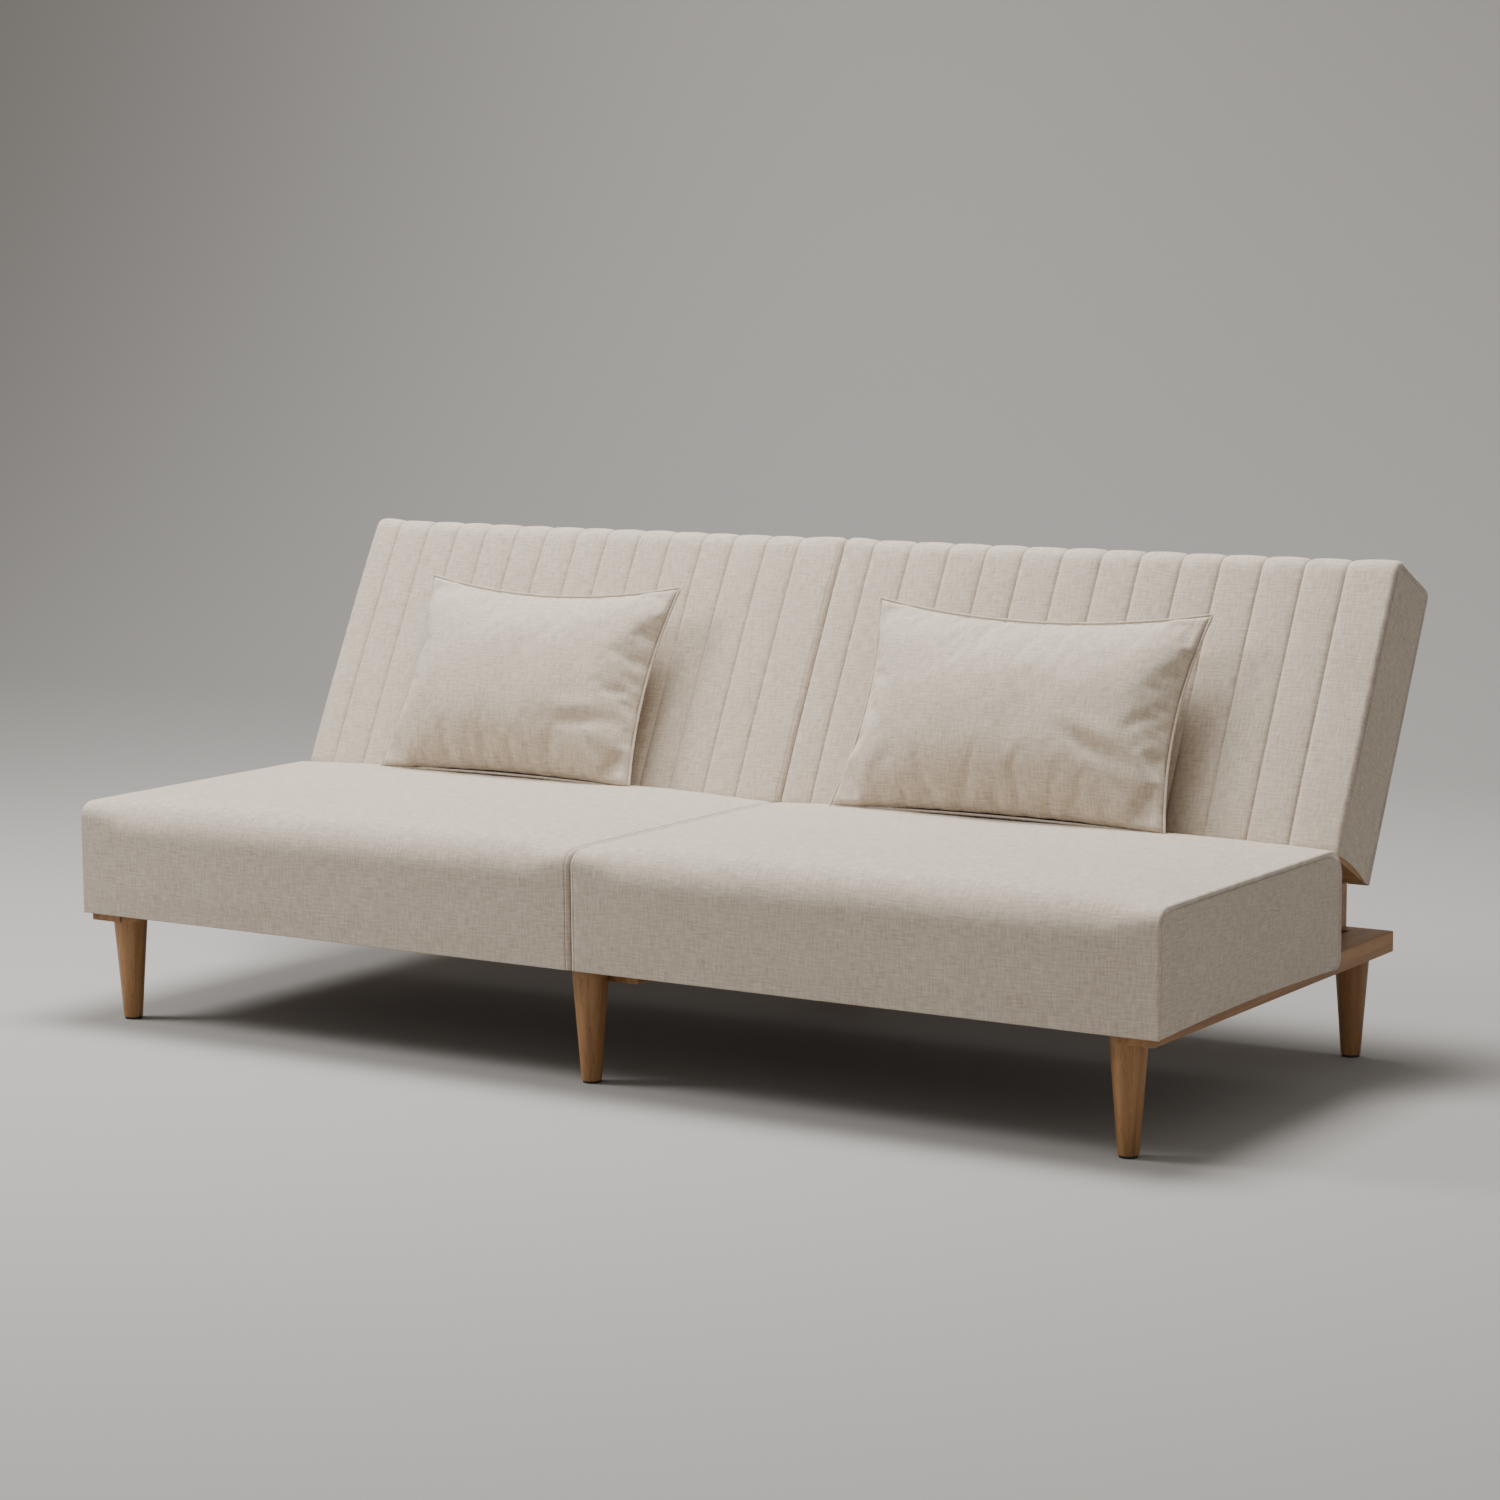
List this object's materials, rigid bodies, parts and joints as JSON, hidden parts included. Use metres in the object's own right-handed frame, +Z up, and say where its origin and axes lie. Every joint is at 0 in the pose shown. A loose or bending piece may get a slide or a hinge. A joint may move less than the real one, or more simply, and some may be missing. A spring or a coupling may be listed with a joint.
{
  "type": "futon sofa bed",
  "caption": "Armless futon sofa bed: split seats on a wooden base with turned legs, channel-stitched backs that fold flat, and loose lumbar pillows.",
  "frame": {"origin": "on the floor below the middle of the overall width and depth", "axes": "+X to the right of a viewer facing the front of the sofa, -Y the way a sitter faces, +Z up"},
  "size_m": [1.86, 0.863, 0.7244],
  "materials": {
    "cover_fabric": "matte",
    "foam_fill": "matte",
    "frame_wood": "satin",
    "plywood": "matte",
    "black_steel": "satin",
    "zinc_steel": "satin",
    "glide_plastic": "matte",
    "dust_cloth": "matte",
    "webbing": "matte",
    "felt": "matte"
  },
  "bodies": {
    "base": {"arm_screws": "zinc_steel", "centre_board": "frame_wood", "foot_glides": "glide_plastic", "frame_dowels": "frame_wood", "frame_screws": "zinc_steel", "front_rail": "frame_wood", "hinge_arm_inner_left": "black_steel", "hinge_arm_inner_right": "black_steel", "hinge_arm_outer_left": "black_steel", "hinge_arm_outer_right": "black_steel", "hinge_pins": "zinc_steel", "hinge_rail": "frame_wood", "leg_bolts": "zinc_steel", "leg_front_centre": "frame_wood", "leg_front_left": "frame_wood", "leg_front_right": "frame_wood", "leg_rear_centre": "frame_wood", "leg_rear_left": "frame_wood", "leg_rear_right": "frame_wood", "middle_rail": "frame_wood", "rear_rail": "frame_wood", "rest_pads": "felt", "rest_posts_left": "frame_wood", "rest_posts_right": "frame_wood", "seat_cover_left": "cover_fabric", "seat_cover_right": "cover_fabric", "seat_dust_cloths": "dust_cloth", "seat_foam_left": "foam_fill", "seat_foam_right": "foam_fill", "seat_frame_left": "frame_wood", "seat_frame_right": "frame_wood", "seat_straps": "webbing", "side_rail_left": "frame_wood", "side_rail_right": "frame_wood"},
    "back_left": {"back_bottom_board_left": "frame_wood", "back_cover_left": "cover_fabric", "back_foam_left": "foam_fill", "back_inner_stile_left": "frame_wood", "back_outer_stile_left": "frame_wood", "back_rear_cloth_left": "dust_cloth", "back_top_board_left": "frame_wood", "back_web_left": "plywood", "hinge_leaf_inner_left": "black_steel", "hinge_leaf_outer_left": "black_steel", "leaf_screws_left": "zinc_steel"},
    "back_right": {"back_bottom_board_right": "frame_wood", "back_cover_right": "cover_fabric", "back_foam_right": "foam_fill", "back_inner_stile_right": "frame_wood", "back_outer_stile_right": "frame_wood", "back_rear_cloth_right": "dust_cloth", "back_top_board_right": "frame_wood", "back_web_right": "plywood", "hinge_leaf_inner_right": "black_steel", "hinge_leaf_outer_right": "black_steel", "leaf_screws_right": "zinc_steel"},
    "pillow_left": {"pillow_cover_left": "cover_fabric", "pillow_fill_left": "foam_fill"},
    "pillow_right": {"pillow_cover_right": "cover_fabric", "pillow_fill_right": "foam_fill"}
  },
  "joints": [
    {"name": "back_left_recline", "type": "hinge", "parent": "base", "child": "back_left", "pos_m": [-0.464, 0.16059, 0.30432], "axis": [-1, 0, 0], "range_deg": [0, 63.34]},
    {"name": "back_right_recline", "type": "hinge", "parent": "base", "child": "back_right", "pos_m": [0.464, 0.16059, 0.30432], "axis": [-1, 0, 0], "range_deg": [0, 63.34]},
    {"name": "pillow_left_lift", "type": "slide", "parent": "back_left", "child": "pillow_left", "axis": [0, -0.8937, 0.4487], "range_m": [0, 0.25]},
    {"name": "pillow_right_lift", "type": "slide", "parent": "back_right", "child": "pillow_right", "axis": [0, -0.8937, 0.4487], "range_m": [0, 0.25]}
  ]
}
